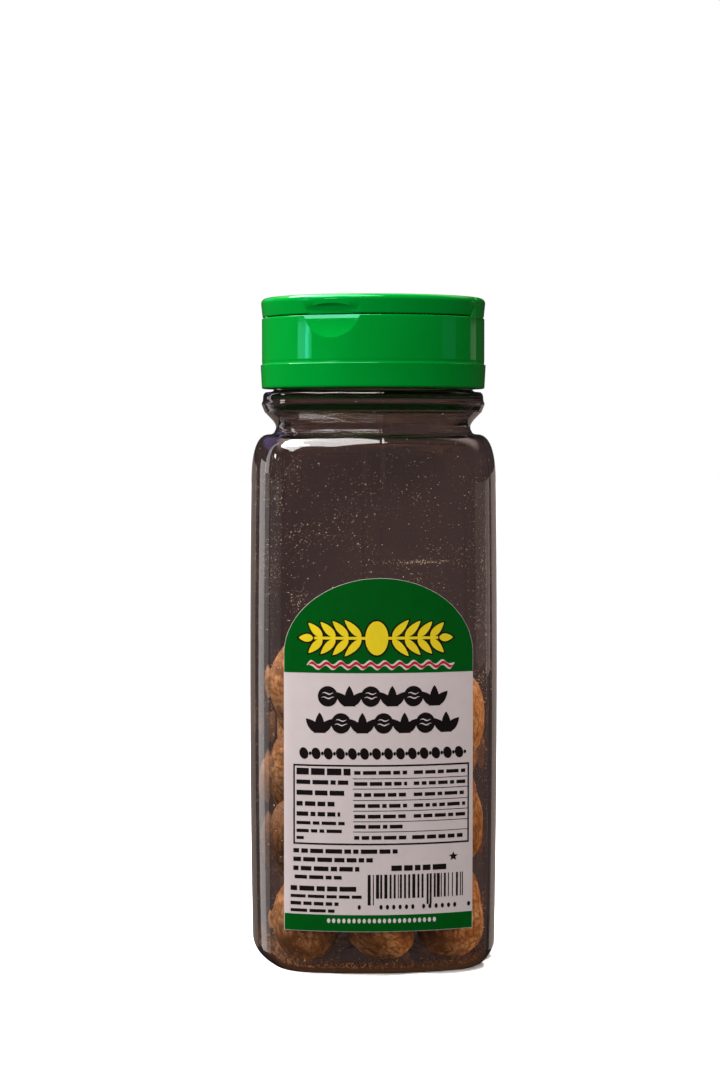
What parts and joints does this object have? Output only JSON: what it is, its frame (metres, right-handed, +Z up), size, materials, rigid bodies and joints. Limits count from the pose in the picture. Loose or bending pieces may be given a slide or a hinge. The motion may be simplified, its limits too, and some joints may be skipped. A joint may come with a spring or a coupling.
{
  "type": "jar of whole nutmegs",
  "caption": "Clear square plastic jar of whole nutmegs with a plain paper label and a screw cap whose two half doors swing up on a middle rib.",
  "frame": {"origin": "middle of the base, on the surface that the jar stands on", "axes": "+Z up the jar; the labelled front faces -Y; the thumb notch of the front door is 26 degrees from -Y towards -X"},
  "size_m": [0.065, 0.0655, 0.1729],
  "materials": {
    "clear_plastic": "clear blown plastic, glossy, a little dusty inside",
    "green_plastic": "moulded green plastic, satin gloss",
    "label_paper": "coated paper, printed in green, black and yellow fields",
    "nutmeg_shell": "dry, dull, finely wrinkled seed"
  },
  "bodies": {
    "jar": {"jar": "clear_plastic", "cap": "green_plastic", "label": "label_paper", "nutmegs": "nutmeg_shell"},
    "front_door": {"front_door": "green_plastic"},
    "back_door": {"back_door": "green_plastic"}
  },
  "joints": [
    {"name": "front_door_hinge", "type": "hinge", "parent": "jar", "child": "front_door", "pos_m": [-0.00059, -0.00121, 0.1729], "axis": [-0.8988, 0.4384, 0], "range_deg": [0, 90]},
    {"name": "back_door_hinge", "type": "hinge", "parent": "jar", "child": "back_door", "pos_m": [0.00059, 0.00121, 0.1729], "axis": [0.8988, -0.4384, 0], "range_deg": [0, 90]}
  ]
}
